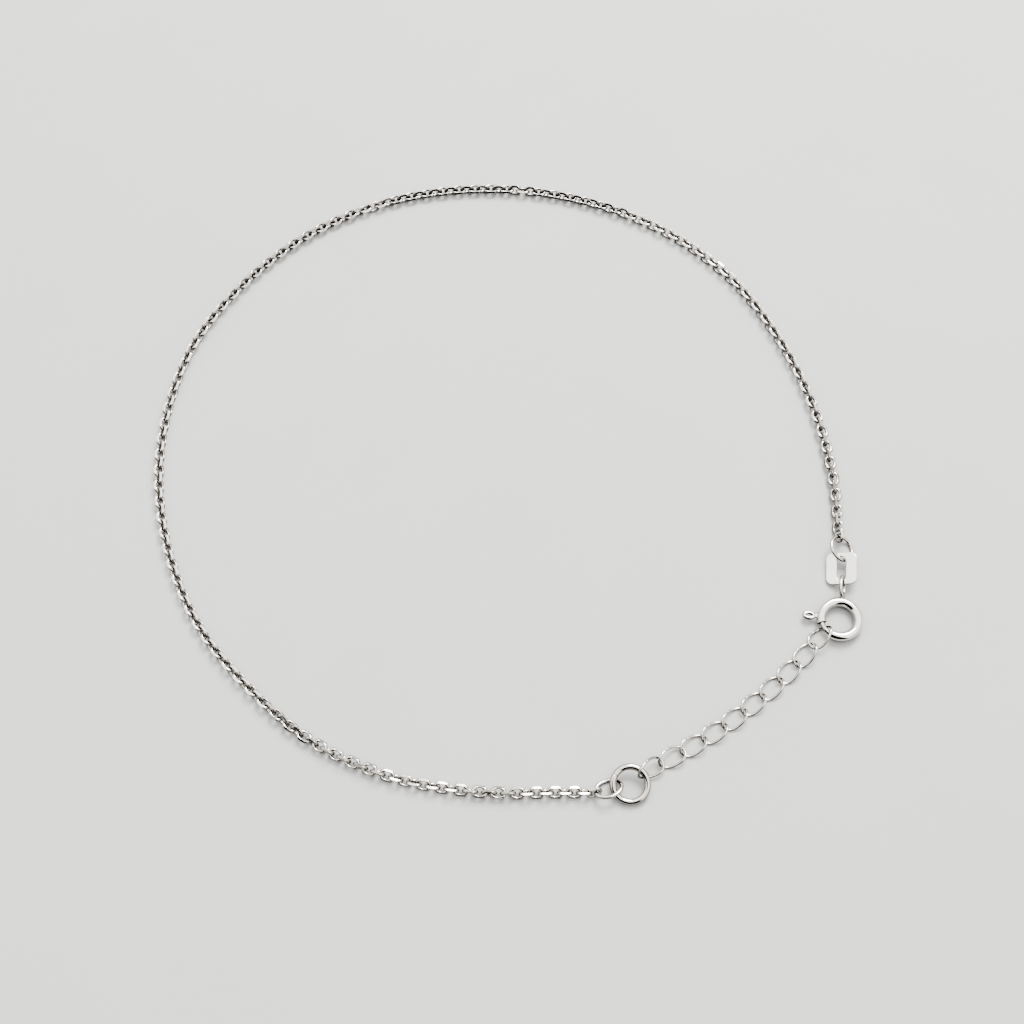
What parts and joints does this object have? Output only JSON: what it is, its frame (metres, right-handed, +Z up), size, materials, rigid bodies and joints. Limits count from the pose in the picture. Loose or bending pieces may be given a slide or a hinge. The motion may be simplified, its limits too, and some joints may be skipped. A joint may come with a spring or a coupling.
{
  "type": "chain anklet",
  "caption": "Fine silver chain anklet laid flat as a closed loop, with a spring ring clasp, a slotted tag and an extension of open curb links.",
  "frame": {"origin": "centre of the loop's bounding box, on the surface that the anklet lies on", "axes": "+Z up from that surface, through the loop where the ankle goes; +X towards the clasp; -Y towards the viewer, where the end ring lies"},
  "size_m": [0.0857, 0.086, 0.0021],
  "materials": {
    "clasp": "polished sterling silver",
    "plate": "polished sterling silver plate",
    "rings": "polished sterling silver wire",
    "extension": "polished sterling silver wire",
    "chain": "flat filed bright sterling silver links"
  },
  "bodies": {
    "anklet": {"clasp_ring": "clasp", "tag": "plate", "upper_jump_ring": "rings", "extension_link_01": "extension", "extension_link_02": "extension", "extension_link_03": "extension", "extension_link_04": "extension", "extension_link_05": "extension", "extension_link_06": "extension", "extension_link_07": "extension", "extension_link_08": "extension", "extension_link_09": "extension", "extension_link_10": "extension", "end_ring": "rings", "lower_jump_ring": "rings", "main_chain": "chain"},
    "lever": {"clasp_lever": "clasp"}
  },
  "joints": [
    {"name": "clasp_lever_slide", "type": "hinge", "parent": "anklet", "child": "lever", "pos_m": [0.03958, -0.02329, 0.00079], "axis": [0, 0, -1], "range_deg": [0, 51], "stiffness_Nm_per_rad": 0.000001, "springref_deg": -17.19}
  ]
}
